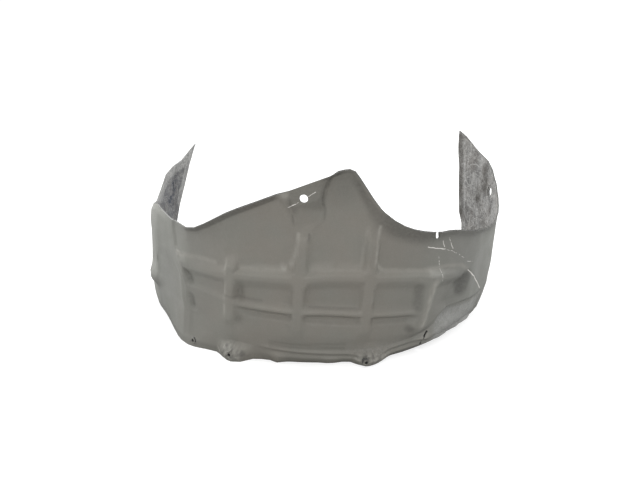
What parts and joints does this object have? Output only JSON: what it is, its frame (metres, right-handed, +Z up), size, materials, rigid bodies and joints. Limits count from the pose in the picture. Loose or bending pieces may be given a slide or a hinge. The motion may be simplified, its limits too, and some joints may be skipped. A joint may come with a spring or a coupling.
{
  "type": "splash shield",
  "caption": "Arched splash shield for a road wheel, moulded in one piece from felted sheet, with ribs, a pointed top edge, rim bosses and clip holes",
  "frame": {"origin": "middle of the bounding box's underside, on the floor the rim stands on", "axes": "+Z up from the floor, -Y from the origin to the crown of the arch, +Y to the open side between the legs, +X towards the leg with the taller tip"},
  "size_m": [0.7146, 0.5586, 0.3723],
  "materials": {
    "felt": "pressed fibre felt with a thin smooth film on the outer face, mid grey, flecked on the inner face"
  },
  "bodies": {
    "root": {"splash_shield": "felt"}
  },
  "joints": []
}
